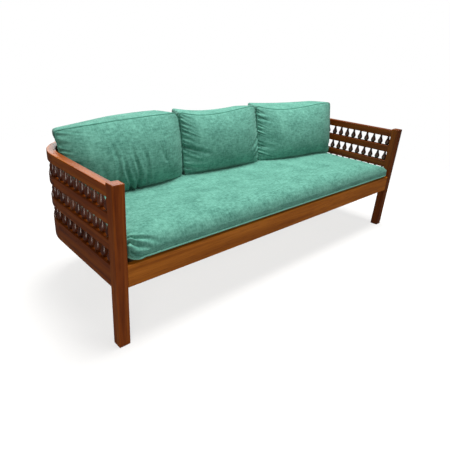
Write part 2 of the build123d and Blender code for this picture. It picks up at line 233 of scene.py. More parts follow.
# Filling of the covers as cloth, how far panels and bands may travel, and how tight the cushions are
FILL_FRAMES = 24
FILL_QUALITY = 5
FILL_MASS = 0.3
FILL_STIFF = 15
FILL_BEND = 0.2
FILL_DAMPING = 10
FILL_AIR = 2
FILL_PRESSURE = 4
LEAST_TRAVEL = 1e-9
PANEL_CAP = 0.030
BAND_CAP = 0.005
SEAT_CAP = 0.006

# A length that counts as nothing, and the names and numbers of the frame's pieces
TINY = 1e-6
SIDES = (("left", -1), ("right", 1))
TIERS = ("apron", "lower_rail", "middle_rail", "top_rail")
ROWS = ("lower", "middle", "upper")
BEARERS = 4
SLATS = 6

draw = random.Random(GRAIN_SEED)


def new_material(name):
    """A node material with one principled shader."""
    material = bpy.data.materials.new(name)
    material.use_nodes = True
    tree = material.node_tree
    tree.nodes.clear()
    output = tree.nodes.new("ShaderNodeOutputMaterial")
    shader = tree.nodes.new("ShaderNodeBsdfPrincipled")
    tree.links.new(shader.outputs["BSDF"], output.inputs["Surface"])
    return material, tree, shader


def node(tree, kind, options=None, **inputs):
    """Add a node, set its options, and set or link its inputs by name or, as _3, by number."""
    added = tree.nodes.new("ShaderNode" + kind)
    for key, value in (options or {}).items():
        setattr(added, key, value)
    for key, value in inputs.items():
        socket = added.inputs[int(key[1:]) if key.startswith("_") else key]
        if isinstance(value, bpy.types.NodeSocket):
            tree.links.new(value, socket)
        else:
            socket.default_value = value
    return added


def ramp(tree, factor, stops):
    """A colour ramp through the given stops."""
    added = node(tree, "ValToRGB", Fac=factor)
    while len(added.color_ramp.elements) < len(stops):
        added.color_ramp.elements.new(0.5)
    for element, (place, colour) in zip(added.color_ramp.elements, stops):
        element.position = place
        element.color = (*colour, 1.0)
    return added.outputs["Color"]


def mixed(tree, blend, share, first, second):
    """Two colours mixed."""
    options = {"data_type": "RGBA", "blend_type": blend}
    return node(tree, "Mix", options, _0=share, _6=first, _7=second).outputs[2]


def ranged(tree, value, low, high, to_low, to_high):
    """A value carried from one range to another."""
    return node(tree, "MapRange", _0=value, _1=low, _2=high, _3=to_low, _4=to_high).outputs[0]


def stretched(tree, place, scale):
    """A place with its axes scaled."""
    return node(tree, "Mapping", Vector=place, Scale=scale).outputs["Vector"]


def raised(tree, shader, strength, distance, height):
    """Give a shader a bump."""
    bump = node(tree, "Bump", Strength=strength, Distance=distance, Height=height)
    tree.links.new(bump.outputs["Normal"], shader.inputs["Normal"])


def polished_wood(name, dark, middle, light, gloss, lacquer):
    """Polished reddish hardwood: long streaks, fine pores and a satin coat, along the piece's own grain."""
    material, tree, shader = new_material(name)
    grain = node(tree, "Attribute", {"attribute_name": "grain"}).outputs["Vector"]
    tone = node(tree, "Attribute", {"attribute_name": "tone"}).outputs["Fac"]
    broad = stretched(tree, grain, STREAKS)
    streaks = node(tree, "TexNoise", Vector=broad, Scale=1.0, Detail=6.0, Roughness=0.58, Distortion=0.6)
    fine = stretched(tree, grain, PORES)
    pores = node(tree, "TexNoise", Vector=fine, Scale=1.0, Detail=2.0, Roughness=0.5)
    colour = ramp(tree, streaks.outputs["Fac"], ((0.28, dark), (0.5, middle), (0.72, light)))
    pore_shade = ramp(tree, pores.outputs["Fac"], ((0.30, (0.55, 0.50, 0.46)), (0.48, (1.0, 1.0, 1.0))))
    grained = mixed(tree, "MULTIPLY", 0.8, colour, pore_shade)
    # the tone darkens each piece: a random tone, and painted shade on the right arm and corner
    toned = node(tree, "HueSaturation", Color=grained, Value=tone).outputs["Color"]
    tree.links.new(toned, shader.inputs["Base Color"])
    tree.links.new(ranged(tree, streaks.outputs["Fac"], 0.25, 0.75, 0.32, 0.44), shader.inputs["Roughness"])
    raised(tree, shader, 0.12, 0.0006, pores.outputs["Fac"])
    shader.inputs["Specular IOR Level"].default_value = gloss
    shader.inputs["Coat Weight"].default_value = lacquer
    shader.inputs["Coat Roughness"].default_value = COAT_ROUGHNESS
    return material


def planed_wood(name, dark, light):
    """Plain unpolished softwood inside the seat, grain along X on Object coordinates."""
    material, tree, shader = new_material(name)
    place = node(tree, "TexCoord").outputs["Object"]
    along = stretched(tree, place, PLANED_STREAKS)
    cloud = node(tree, "TexNoise", Vector=along, Scale=1.0, Detail=5.0, Roughness=0.6, Distortion=0.8)
    streaks = cloud.outputs["Fac"]
    tree.links.new(ramp(tree, streaks, ((0.3, dark), (0.7, light))), shader.inputs["Base Color"])
    tree.links.new(ranged(tree, streaks, 0.3, 0.7, 0.62, 0.76), shader.inputs["Roughness"])
    raised(tree, shader, 0.15, 0.0008, streaks)
    return material


def slub_weave(name, dark, light):
    """Woven cloth with uneven yarns: a plain weave, slub streaks both ways, specks and soft mottling."""
    material, tree, shader = new_material(name)
    place = node(tree, "UVMap", {"uv_map": "panel"}).outputs["UV"]

    def added(value, share, under):
        """A value times its share, added to what lies under it."""
        return node(tree, "Math", {"operation": "MULTIPLY_ADD"}, _0=value, _1=share, _2=under).outputs[0]

    def layer(scale, detail, share, under):
        """Noise stretched by a scale, added to what lies under it."""
        spread = stretched(tree, place, scale)
        cloud = node(tree, "TexNoise", Vector=spread, Scale=1.0, Detail=detail, Roughness=0.6)
        return added(cloud.outputs["Fac"], share, under)

    slubs = layer(*SLUBS, 0.0)
    yarns = layer(*YARNS, slubs)
    specks = layer(*SPECKS, yarns)
    mottled = layer(*MOTTLING, specks)
    shade = ranged(tree, mottled, *CLOTH_SPREAD, 0.0, 1.0)
    tree.links.new(ramp(tree, shade, ((0.0, dark), (1.0, light))), shader.inputs["Base Color"])
    across = stretched(tree, place, (1.0 / THREAD, 1.0 / THREAD, 1.0))
    weft = node(tree, "TexWave", {"bands_direction": "X"}, Vector=across, Scale=0.3).outputs["Fac"]
    warp = node(tree, "TexWave", {"bands_direction": "Y"}, Vector=across, Scale=0.3).outputs["Fac"]
    weave = node(tree, "Math", {"operation": "MAXIMUM"}, _0=weft, _1=warp).outputs[0]
    raised(tree, shader, 0.4, 0.0008, added(slubs, 1.2, weave))
    tree.links.new(ranged(tree, slubs, 0.2, 0.42, 0.80, 0.94), shader.inputs["Roughness"])
    shader.inputs["Sheen Weight"].default_value = SHEEN
    shader.inputs["Sheen Roughness"].default_value = 0.5
    shader.inputs["Sheen Tint"].default_value = (0.75, 0.95, 0.88, 1.0)
    shader.inputs["Specular IOR Level"].default_value = CLOTH_GLOSS
    return material


def bias_cord(name, dark, light):
    """Cloth of the piping: fine uneven yarns on Object coordinates."""
    material, tree, shader = new_material(name)
    place = node(tree, "TexCoord").outputs["Object"]
    yarns = node(tree, "TexNoise", Vector=place, Scale=CORD_YARNS, Detail=2.0, Roughness=0.6).outputs["Fac"]
    tree.links.new(ramp(tree, yarns, ((0.34, dark), (0.66, light))), shader.inputs["Base Color"])
    raised(tree, shader, 0.3, 0.0006, yarns)
    tree.links.new(ranged(tree, yarns, 0.3, 0.7, 0.80, 0.92), shader.inputs["Roughness"])
    shader.inputs["Specular IOR Level"].default_value = CLOTH_GLOSS
    return material


WOOD = polished_wood("polished_wood", (0.125, 0.020, 0.002), (0.280, 0.060, 0.003),
                     (0.420, 0.118, 0.008), gloss=0.20, lacquer=0.05)
TURNED_WOOD = polished_wood("turned_wood", (0.050, 0.007, 0.003), (0.115, 0.022, 0.005),
                            (0.190, 0.048, 0.010), gloss=0.70, lacquer=0.5)
# Painted light: a lighter, more orange copy of the polished wood for the front rail, standing in for the
# light on its front
FRONT_LIT_WOOD = polished_wood("front_wood_painted_light", (0.280, 0.074, 0.004), (0.430, 0.128, 0.008),
                           (0.560, 0.184, 0.016), gloss=0.16, lacquer=0.04)
PLANED_WOOD = planed_wood("planed_wood", (0.36, 0.22, 0.11), (0.62, 0.45, 0.26))
FABRIC = slub_weave("slub_weave", (0.040, 0.166, 0.129), (0.180, 0.480, 0.386))
# Painted shade: the back cushions' piping is a darker cloth than the cover, standing in for the shade along
# the sunk seams
SHADED_PIPING_FABRIC = bias_cord("bias_cord", (0.045, 0.180, 0.140), (0.120, 0.350, 0.270))
# Painted highlight: the seat's piping is a paler cloth so that it reads as a lit line along the cushion's
# foot
SEAT_PIPING_HIGHLIGHT_FABRIC = bias_cord("seat_bias_cord_painted_highlight", (0.110, 0.340, 0.265), (0.260, 0.600, 0.490))


def grain_shift():
    """A shift of the grain, so that no two pieces match."""
    return Vector([draw.uniform(0, GRAIN_SHIFT) for _ in range(3)])


def set_grain(bm, along, tone):
    """Store each vertex's place along and across the grain, and the piece's tone, which on the right arm
    and corner holds painted shade.
    """
    grain = bm.verts.layers.float_vector.new("grain")
    shade = bm.verts.layers.float.new("tone")
    shift = grain_shift()
    for vert in bm.verts:
        vert[grain] = along(vert.co) + shift
        vert[shade] = tone


def along_x(place):
    """Grain along X."""
    return Vector((place.x, place.y, place.z))


def along_y(place):
    """Grain along Y."""
    return Vector((place.y, place.x, place.z))


def along_z(place):
    """Grain along Z."""
    return Vector((place.z, place.x, place.y))


def finish_piece(name, bm, material, body, slot, *nodes):
    """Turn a finished bmesh into a piece with even normals on its flats."""
    bmesh.ops.recalc_face_normals(bm, faces=bm.faces)
    mesh = bpy.data.meshes.new(name)
    bm.to_mesh(mesh)
    bm.free()
    mesh.shade_smooth()
    mesh.materials.append(material)
    piece = bpy.data.objects.new(name, mesh)
    bpy.context.scene.collection.objects.link(piece)
    normals = piece.modifiers.new("even_normals", "WEIGHTED_NORMAL")
    normals.keep_sharp = True
    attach(piece, body)
    if nodes:
        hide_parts(*nodes)


def rounded_section(middle, across, up, rounding):
    """A bmesh with one rounded rectangle, spanned by two vectors about its middle."""
    bm = bmesh.new()
    plane = Matrix((across, up, across.cross(up))).transposed().to_4x4()
    place = Matrix.Translation(middle) @ plane
    bmesh.ops.create_grid(bm, x_segments=1, y_segments=1, size=0.5, matrix=place)
    bmesh.ops.bevel(bm, geom=bm.verts[:], offset=rounding, segments=ROUND_STEPS, profile=0.5,
                    affect="VERTICES", material=-1)
    return bm


def ease_ends(bm):
    """Take the sharp arris off both end faces."""
    ends = [face for face in bm.faces if len(face.verts) > 4]
    edges = {edge for face in ends for edge in face.edges}
    bmesh.ops.bevel(bm, geom=list(edges), offset=END_EASE, segments=1, profile=0.5,
                    affect="EDGES", material=-1)


def straight_rail(low, high, axis):
    """A rail along one axis with rounded long arrises."""
    middle = (low + high) / 2
    size = high - low
    start = middle.copy()
    start[axis] = low[axis]
    other = 1 - axis
    across = Vector((0.0, 0.0, 0.0))
    across[other] = size[other]
    bm = rounded_section(start, across, Vector((0, 0, size.z)), RAIL_ROUND)
    travel = Vector((0.0, 0.0, 0.0))
    travel[axis] = size[axis]
    grown = bmesh.ops.extrude_face_region(bm, geom=bm.faces[:])["geom"]
    far_end = [item for item in grown if isinstance(item, bmesh.types.BMVert)]
    bmesh.ops.translate(bm, verts=far_end, vec=travel)
    ease_ends(bm)
    return bm


def bent_rail(centre, inner, outer, low_z, high_z, side):
    """A corner rail: its section turned a quarter circle, from the arm round to the back."""
    middle = Vector((centre.x + side * (inner + outer) / 2, centre.y, (low_z + high_z) / 2))
    bm = rounded_section(middle, Vector((outer - inner, 0, 0)), Vector((0, 0, high_z - low_z)), RAIL_ROUND)
    bmesh.ops.spin(bm, geom=bm.verts[:] + bm.edges[:] + bm.faces[:], cent=centre, axis=(0, 0, 1),
                   angle=side * math.pi / 2, steps=CORNER_STEPS, use_duplicate=False)
    ease_ends(bm)
    return bm


def make_posts():
    """Four square posts from the floor to just above the top rail."""
    for end in ("front", "rear"):
        for side, _ in SIDES:
            name = f"{end}_post_{side}"
            low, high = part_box(name)
            bm = bmesh.new()
            place = Matrix.Translation((low + high) / 2) @ Matrix.Diagonal((*(high - low), 1.0))
            bmesh.ops.create_cube(bm, size=1.0, matrix=place)
            bmesh.ops.bevel(bm, geom=bm.edges[:], offset=POST_ROUND, segments=ROUND_STEPS, profile=0.5,
                            affect="EDGES", material=-1)
            # the right front post is darkened by painted shade
            tone = draw.uniform(*TONES) * (SIDE_PAINTED_SHADE[side] if end == "front" else 1.0)
            set_grain(bm, along_z, tone)
            finish_piece(f"polished_{name}", bm, WOOD, "frame", "show_wood", name)


def corner_centre(sign):
    """Where a rounded corner turns, and its inner and outer radius."""
    side = "left" if sign < 0 else "right"
    arm_low, arm_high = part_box(f"apron_{side}_arm")
    bend_low, bend_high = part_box(f"apron_{side}_corner")
    outer = bend_high.y - arm_high.y
    edge = bend_low.x if sign < 0 else bend_high.x
    centre = Vector((edge - sign * outer, arm_high.y, 0.0))
    return centre, outer - (arm_high.x - arm_low.x), outer


def make_rails():
    """The front seat rail, and four tiers of arm, corner and back rails."""
    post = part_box("front_post_right")
    rear_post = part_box("rear_post_right")
    low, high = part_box("front_seat_rail")
    low.x, high.x = -post[0].x, post[0].x
    bm = straight_rail(low, high, 0)
    set_grain(bm, along_x, FRONT_RAIL_TONE)
    # the front rail takes the lighter copy of the wood, painted light
    finish_piece("polished_front_seat_rail", bm, FRONT_LIT_WOOD, "frame", "show_wood", "front_seat_rail")
    for tier in TIERS:
        low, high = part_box(f"{tier}_back")
        low.x, high.x = -rear_post[0].x, rear_post[0].x
        bm = straight_rail(low, high, 0)
        set_grain(bm, along_x, draw.uniform(*TONES))
        finish_piece(f"polished_{tier}_back", bm, WOOD, "frame", "show_wood", f"{tier}_back")
        for side, sign in SIDES:
            low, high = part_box(f"{tier}_{side}_arm")
            low.y = post[1].y
            bm = straight_rail(low, high, 1)
            # the right arm's rails are darkened by painted shade
            set_grain(bm, along_y, draw.uniform(*TONES) * SIDE_PAINTED_SHADE[side])
            name = f"{tier}_{side}_arm"
            finish_piece(f"polished_{name}", bm, WOOD, "frame", "show_wood", name)
            centre, inner, outer = corner_centre(sign)
            bm = bent_rail(centre, inner, outer, low.z, high.z, sign)

            def along_bend(place):
                """Grain round the corner."""
                spread = place - centre
                turn = math.atan2(spread.y, sign * spread.x)
                return Vector((turn * outer, math.hypot(spread.x, spread.y), place.z))

            # the right corner rails are darkened by painted shade
            set_grain(bm, along_bend, draw.uniform(*TONES) * CORNER_PAINTED_SHADE[side])
            name = f"{tier}_{side}_corner"
            finish_piece(f"polished_{name}", bm, WOOD, "frame", "show_wood", name)


def turned_spindle():
    """One spindle, turned about its own axis, as a mesh at the origin."""
    bm = bmesh.new()
    rings = [bm.verts.new((radius, 0.0, height)) for radius, height in SPINDLE_RINGS]
    for first, second in zip(rings, rings[1:]):
        bm.edges.new((first, second))
    bmesh.ops.spin(bm, geom=bm.verts[:] + bm.edges[:], cent=(0, 0, 0), axis=(0, 0, 1), angle=math.tau,
                   steps=SPINDLE_STEPS, use_merge=True)
    bmesh.ops.remove_doubles(bm, verts=bm.verts[:], dist=TINY)
    bmesh.ops.holes_fill(bm, edges=[edge for edge in bm.edges if edge.is_boundary], sides=0)
    bmesh.ops.recalc_face_normals(bm, faces=bm.faces)
    mesh = bpy.data.meshes.new("turned_spindle")
    bm.to_mesh(mesh)
    bm.free()
    return mesh


def spindle_places(run, sign, low, high):
    """Where the spindles of one row stand, in plan."""
    count = SPINDLES[run]
    steps = [index / (count - 1) for index in range(count)]
    middle = (low + high) / 2
    if run == "back":
        return [Vector((low.x + BULB + step * (high.x - low.x - 2 * BULB), middle.y, 0)) for step in steps]
    if run == "arm":
        return [Vector((middle.x, low.y + BULB + step * (high.y - low.y - 2 * BULB), 0)) for step in steps]
    centre, inner, outer = corner_centre(sign)
    radius = (inner + outer) / 2
    past_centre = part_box("rear_post_right")[1].x - abs(centre.x)
    last_turn = math.acos(past_centre / radius) if past_centre > 0 else math.pi / 2
    first = CORNER_FIRST_GAP / radius
    last = last_turn - CORNER_LAST_GAP / radius
    turns = [first + step * (last - first) for step in steps]
    return [centre + Vector((sign * radius * math.cos(turn), radius * math.sin(turn), 0)) for turn in turns]


def make_spindles():
    """Three rows of turned spindles between the rails, one piece for each row and run."""
    spindle = turned_spindle()
    runs = [("arm", side, sign) for side, sign in SIDES] + [("corner", side, sign) for side, sign in SIDES]
    for row in ROWS:
        for run, side, sign in runs + [("back", "", 0)]:
            name = f"spindles_{row}_{side}_{run}" if side else f"spindles_{row}_{run}"
            low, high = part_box(name)
            bm = bmesh.new()
            grain = bm.verts.layers.float_vector.new("grain")
            shade = bm.verts.layers.float.new("tone")
            for place in spindle_places(run, sign, low, high):
                before = set(bm.verts)
                bm.from_mesh(spindle)
                fresh = [vert for vert in bm.verts if vert not in before]
                shift = grain_shift()
                # the right arm's spindles are darkened by painted shade
                tone = draw.uniform(*TONES) * (SIDE_PAINTED_SHADE[side] if run == "arm" else 1.0)
                for vert in fresh:
                    vert[grain] = along_z(vert.co) + shift
                    vert[shade] = tone
                bmesh.ops.translate(bm, verts=fresh, vec=Vector((place.x, place.y, low.z)))
            finish_piece(f"turned_{name}", bm, TURNED_WOOD, "frame", "turned_wood", name)


def make_deck_finish():
    """Planed finish on the hidden deck pieces."""
    names = ["side_ledger_left", "side_ledger_right", "corner_tenons"]
    names += [f"bearer_{index + 1}" for index in range(BEARERS)]
    names += [f"seat_slat_{index + 1}" for index in range(SLATS)]
    for name in names:
        mesh = bpy.data.objects[name].data
        mesh.materials.clear()
        mesh.materials.append(PLANED_WOOD)


def grid_box(counts):
    """A unit cube with its faces divided into the given number of squares along each axis."""
    bm = bmesh.new()
    bmesh.ops.create_cube(bm, size=1.0)
    for axis, count in enumerate(counts):
        along = [edge for edge in bm.edges if abs(edge.verts[0].co[axis] - edge.verts[1].co[axis]) > TINY]
        bmesh.ops.subdivide_edges(bm, edges=along, cuts=count - 1, use_grid_fill=True)
    return bm


def mark_panels(bm, size):
    """Give each panel its own UV in metres, and keep each vertex's place in the flat box."""
    panel = bm.loops.layers.uv.new("panel")
    flat = bm.verts.layers.float_vector.new("flat")
    for vert in bm.verts:
        vert[flat] = vert.co
    for face in bm.faces:
        middle = face.calc_center_median()
        spread = [abs(middle.x), abs(middle.y), abs(middle.z)]
        facing = spread.index(max(spread))
        axes = ((1, 2), (0, 2), (0, 1))[facing]
        shift = PANEL_SHIFTS[0] * facing + (PANEL_SHIFTS[1] if middle[facing] > 0 else 0.0)
        for loop in face.loops:
            place = loop.vert.co
            loop[panel].uv = [place[axis] * size[axis] + shift for axis in axes]


def between(table, value):
    """Straight-line interpolation in a short table of pairs."""
    for (start, first), (stop, second) in zip(table, table[1:]):
        if value <= stop:
            share = max(0.0, (value - start) / (stop - start))
            return first + share * (second - first)
    return table[-1][1]


def through(ends, share):
    """A smooth curve through a value at the left end (-1), the middle (0) and the right end (1)."""
    left, middle, right = ends
    return left * share * (share - 1) / 2 + middle * (1 - share ** 2) + right * share * (share + 1) / 2


def smooth_step(share):
    """Ease from 0 to 1 as a share passes from 0 to 1."""
    share = min(1.0, max(0.0, share))
    return share * share * (3 - 2 * share)


def roll_drop(edge, width, height):
    """How far a rounded edge of a given width and height falls at a distance from the edge."""
    share = min(1.0, max(0.0, 1 - edge / width))
    return height * (1 - math.sqrt(1 - share ** 2))


def shape_seat(flat, low, high):
    """Carry a point of the flat box to the seat cushion before it is filled."""
    half = (high - low) / 2
    middle = (low + high) / 2
    place = Vector((flat.x * 2 * half.x, flat.y * 2 * half.y, 0))
    corner = SEAT_CORNER_REAR if place.y > 0 else SEAT_CORNER_FRONT
    spread = Vector((abs(place.x) - (half.x - corner), abs(place.y) - (half.y - corner), 0))
    if spread.x > 0 and spread.y > 0:
        reach = max(spread.x, spread.y)
        edge = corner - reach
        turn = (spread.y / spread.length) ** 2
        drop = turn * roll_drop(edge, *SEAT_LONG_ROLL) + (1 - turn) * roll_drop(edge, *SEAT_END_ROLL)
        spread *= reach / spread.length
        place.x = math.copysign(half.x - corner + spread.x, place.x)
        place.y = math.copysign(half.y - corner + spread.y, place.y)
    else:
        end = half.x - abs(place.x)
        side = half.y - abs(place.y)
        edge = min(end, side)
        drop = max(roll_drop(side, *SEAT_LONG_ROLL), roll_drop(end, *SEAT_END_ROLL))
    crown = SEAT_CROWN * max(0.0, 1 - edge / SEAT_CROWN_REACH) ** 2
    top = SEAT_TOP - drop - crown
    top -= SEAT_SAG * smooth_step((place.y - SEAT_SAG_FROM[0]) / (SEAT_SAG_FROM[1] - SEAT_SAG_FROM[0]))
    top = min(top, between(SEAT_RIGHT_TOP, half.x - place.x))
    rise = flat.z + 0.5
    inset = SEAT_FOOT_INSET * max(0.0, 1 - rise / SEAT_FOOT_RISE)
    shrink = Vector(((half.x - inset) / half.x, (half.y - inset) / half.y))
    x = middle.x + place.x * shrink.x
    y = middle.y + place.y * shrink.y
    return Vector((x, y, low.z + rise * (top - low.z)))


def round_corner(place, half, corner):
    """Draw a point of a rectangle in so that the rectangle's corner becomes an arc."""
    spread = [abs(place[axis]) - (half[axis] - corner) for axis in (0, 1)]
    if min(spread) <= 0:
        return place
    drawn = max(spread) / math.hypot(*spread)
    return [math.copysign(half[axis] - corner + spread[axis] * drawn, place[axis]) for axis in (0, 1)]


def seat_height(x):
    """Height of a back cushion's foot on the seat, lower over the sunk right end."""
    return min(BACK_BOTTOM, between(SEAT_RIGHT_TOP, SEAT_END - x) + SEAT_CLEAR)


def shape_back(flat, cushion):
    """Carry a point of the flat box to a leaning back cushion before it is filled."""
    depth = flat.y + 0.5
    left, right = cushion["sides"]
    half = ((right - left) / 2, (cushion["top"][1] - BACK_BOTTOM) / 2)
    corner = cushion["corners"][0 if flat.x < 0 else 1] if flat.z > 0 else BACK_CORNER_BOTTOM
    drawn = round_corner((flat.x * 2 * half[0], flat.z * 2 * half[1]), half, corner)
    across = drawn[0] / half[0]
    height = drawn[1] / half[1]
    rise = (height + 1) / 2
    front = through(cushion["front"], across)
    rear = through(cushion["rear"], across)
    front_top = through(cushion["top"], across) + cushion["skew"] * across * (1 - across ** 2)
    top = front_top + depth * (through(cushion["rear_top"], across) - front_top)
    x = (left + right) / 2 + drawn[0]
    x += depth * (cushion["taper"][0] * max(0.0, -across) - cushion["taper"][1] * max(0.0, across))
    end = 0 if across < 0 else 1
    x += cushion["swell"][end] * across * (1 - height ** 2)
    x += cushion["splay"][end] * abs(across) * (1 - rise)
    foot = seat_height(x)
    z = foot + rise * (top - foot)
    front += through(cushion["lean"], across) * (z - foot)
    rear += REAR_LEAN * (z - foot)
    y = front + depth * (rear - front)
    above = min(1.0, max(0.0, (z - RAIL_CLEAR) / RAIL_CLEAR_RISE))
    x -= cushion["overhang"] * depth * max(0.0, -across) ** 3 * above
    belly = BACK_BELLY[0 if flat.z < 0 else 1]
    puff = (1 - abs(flat.x * 2) ** BACK_BELLY_ACROSS) * (1 - abs(flat.z * 2) ** belly)
    if flat.y < -PANEL_EDGE:
        y -= BACK_CROWN * puff
    elif flat.y > PANEL_EDGE:
        y += BACK_CROWN_REAR * puff
    elif flat.z > PANEL_EDGE:
        z += BACK_BAND_CROWN * (1 - (2 * depth - 1) ** 2) * (1 - abs(across) ** BACK_BELLY_ACROSS)
    return Vector((x, y, z))


def cushion_cover(name, counts, size, shape):
    """The cover of a cushion before it is filled, with its panels marked."""
    bm = grid_box(counts)
    mark_panels(bm, size)
    for vert in bm.verts:
        vert.co = shape(vert.co.copy())
    bmesh.ops.recalc_face_normals(bm, faces=bm.faces)
    mesh = bpy.data.meshes.new(name)
    bm.to_mesh(mesh)
    bm.free()
    piece = bpy.data.objects.new(name, mesh)
    bpy.context.scene.collection.objects.link(piece)
    return piece


def seat_box():
    """The seat cushion's box, carried out over the front rail."""
    low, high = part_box("seat_cushion")
    low.y -= SEAT_OVERHANG
    high.x = -low.x
    return low, high


def seat_counts():
    """Squares of the seat cover along each axis."""
    low, high = seat_box()
    return [round(side / SEAT_STEP) for side in high - low]


def back_size(cushion):
    """Width, depth and height of a back cushion's flat box."""
    width = cushion["sides"][1] - cushion["sides"][0]
    return Vector((width, cushion["rear"][1] - cushion["front"][1], cushion["top"][1] - BACK_BOTTOM))


def make_covers():
    """The unfilled covers of the seat and back cushions."""
    low, high = seat_box()
    size = high - low
    counts = seat_counts()
    covers = {"seat": cushion_cover("seat_pad", counts, size, lambda flat: shape_seat(flat, low, high))}
    for name, cushion in BACKS.items():
        size = back_size(cushion)
        counts = [round(side / BACK_STEP) for side in size]
        covers[name] = cushion_cover(f"back_pad_{name}", counts, size,
                                     lambda flat, cushion=cushion: shape_back(flat, cushion))
    return covers


def points_of(mesh, field):
    """A mesh's vertex places, normals or stored vectors as an array."""
    values = numpy.empty(len(mesh.vertices) * 3)
    if field in ("co", "normal"):
        mesh.vertices.foreach_get(field, values)
    else:
        mesh.attributes[field].data.foreach_get("vector", values)
    return values.reshape(-1, 3)


def set_group(piece, name, weights):
    """A vertex group with the given weights."""
    group = piece.vertex_groups.new(name=name)
    for index in numpy.nonzero(weights)[0]:
        group.add([int(index)], float(weights[index]), "REPLACE")


def mark_seams(piece, name):
    """Hold the seams: front and rear of a back cushion, the foot of the seat cushion."""
    flat = points_of(piece.data, "flat")
    across, depth, rise = numpy.abs(flat.T) > PANEL_EDGE
    if name == "seat":
        held = (flat[:, 2] < -PANEL_EDGE) & (across | depth)
    else:
        held = depth & (across | rise)
    set_group(piece, "held", held * 1.0)


def fill_cap(piece, name):
    """How far each point of a cover may travel as it is filled."""
    if name == "seat":
        return SEAT_CAP
    panels = numpy.abs(points_of(piece.data, "flat")[:, 1:2]) > PANEL_EDGE
    return numpy.where(panels, PANEL_CAP, BAND_CAP)


def fill_covers(covers):
    """Inflate all covers together as cloth, held at their seams."""
    scene = bpy.context.scene
    for name, piece in covers.items():
        mark_seams(piece, name)
        cloth = piece.modifiers.new("fill", "CLOTH")
        settings = cloth.settings
        settings.quality = FILL_QUALITY
        settings.mass = FILL_MASS
        settings.tension_stiffness = FILL_STIFF
        settings.compression_stiffness = FILL_STIFF
        settings.shear_stiffness = FILL_STIFF / 3
        settings.bending_stiffness = FILL_BEND
        settings.tension_damping = FILL_DAMPING
        settings.compression_damping = FILL_DAMPING
        settings.shear_damping = FILL_DAMPING
        settings.air_damping = FILL_AIR
        settings.use_pressure = True
        settings.uniform_pressure_force = FILL_PRESSURE
        settings.vertex_group_mass = "held"
        settings.effector_weights.gravity = 0
        cloth.collision_settings.use_collision = False
        cloth.point_cache.frame_start = 1
        cloth.point_cache.frame_end = FILL_FRAMES
    for step in range(1, FILL_FRAMES + 1):
        scene.frame_set(step)
    graph = bpy.context.evaluated_depsgraph_get()
    for name, piece in covers.items():
        rest = points_of(piece.data, "co")
        filled = points_of(piece.evaluated_get(graph).data, "co")
        piece.modifiers.clear()
        travel = filled - rest
        reach = numpy.linalg.norm(travel, axis=1, keepdims=True)
        cap = fill_cap(piece, name)
        limit = cap * numpy.tanh(reach / cap) / numpy.maximum(reach, LEAST_TRAVEL)
        piece.data.vertices.foreach_set("co", (rest + travel * limit).ravel())
        piece.data.update()
    scene.frame_set(1)


def refine(piece):
    """Divide a filled cover once more and keep the result as its mesh."""
    smooth = piece.modifiers.new("smooth", "SUBSURF")
    smooth.levels = 1
    smooth.render_levels = 1
    graph = bpy.context.evaluated_depsgraph_get()
    fine = bpy.data.meshes.new_from_object(piece.evaluated_get(graph))
    piece.modifiers.clear()
    piece.data = fine


def move_along_normals(mesh, amount):
    """Push every vertex out along its normal."""
    moved = points_of(mesh, "co") + points_of(mesh, "normal") * amount[:, None]
    mesh.vertices.foreach_set("co", moved.ravel())
    mesh.update()


def fold(across, up, start, stop, depth, width):
    """Depth of one fold, deepest at its start and dying out at its end, with a soft ridge on both sides."""
    across = across + FOLD_WANDER * numpy.sin(FOLD_WAVES[0] * up + FOLD_WAVES[1] * start[0])
    run = numpy.subtract(stop, start)
    share = ((across - start[0]) * run[0] + (up - start[1]) * run[1]) / run.dot(run)
    near = numpy.clip(share, 0.0, 1.0)
    away = numpy.hypot(across - start[0] - near * run[0], up - start[1] - near * run[1]) / width
    strength = depth * (1 - near) ** FOLD_FADE * numpy.clip(1 + share * FOLD_BEGIN, 0, 1)
    return strength * (FOLD_RIDGE * numpy.exp(-((away - FOLD_RIDGE_PLACE) ** 2)) - numpy.exp(-away ** 2))


def drift(values, pitch, seed):
    """Slow uneven change along a seam."""
    return numpy.array([noise.noise(Vector((value / pitch, seed, 0.0))) for value in values])


def varied(values, middle, swing, least, most):
    """Values swung about a middle and kept between two limits."""
    return numpy.clip(middle + swing * values, least, most)


def ruffle(flat, size, side, reach, depth, pitch, seed):
    """Uneven puckers that run in from one side seam over the front panel and across the end panel."""
    front = flat[:, 1] < -PANEL_EDGE
    away = numpy.where(front, (0.5 - side * flat[:, 0]) * size.x, (flat[:, 1] + 0.5) * size.y)
    near = (front | (side * flat[:, 0] > PANEL_EDGE)) & (away < PUCKER_REACH * reach)
    away = away[near]
    along = flat[near, 2] * size.z + PUCKER_SLANT * away
    spans = [share * pitch for share in PUCKER_DRIFTS]
    length = reach * varied(drift(along, spans[0], seed + PUCKER_SEEDS[0]), *PUCKER_LENGTHS)
    height = varied(drift(along, spans[1], seed + PUCKER_SEEDS[1]), *PUCKER_HEIGHTS)
    taper = numpy.exp(-(away / length) ** PUCKER_TAPER) * numpy.clip(away / PUCKER_START, 0, 1)
    ends = numpy.clip((0.5 - numpy.abs(flat[near, 2])) * size.z / PUCKER_CORNER, 0, 1)
    swing = numpy.sin(2 * numpy.pi * along / pitch + PUCKER_PHASE * drift(along, spans[2], seed))
    amount = numpy.zeros(len(flat))
    amount[near] = depth * height * swing * taper * ends
    return amount


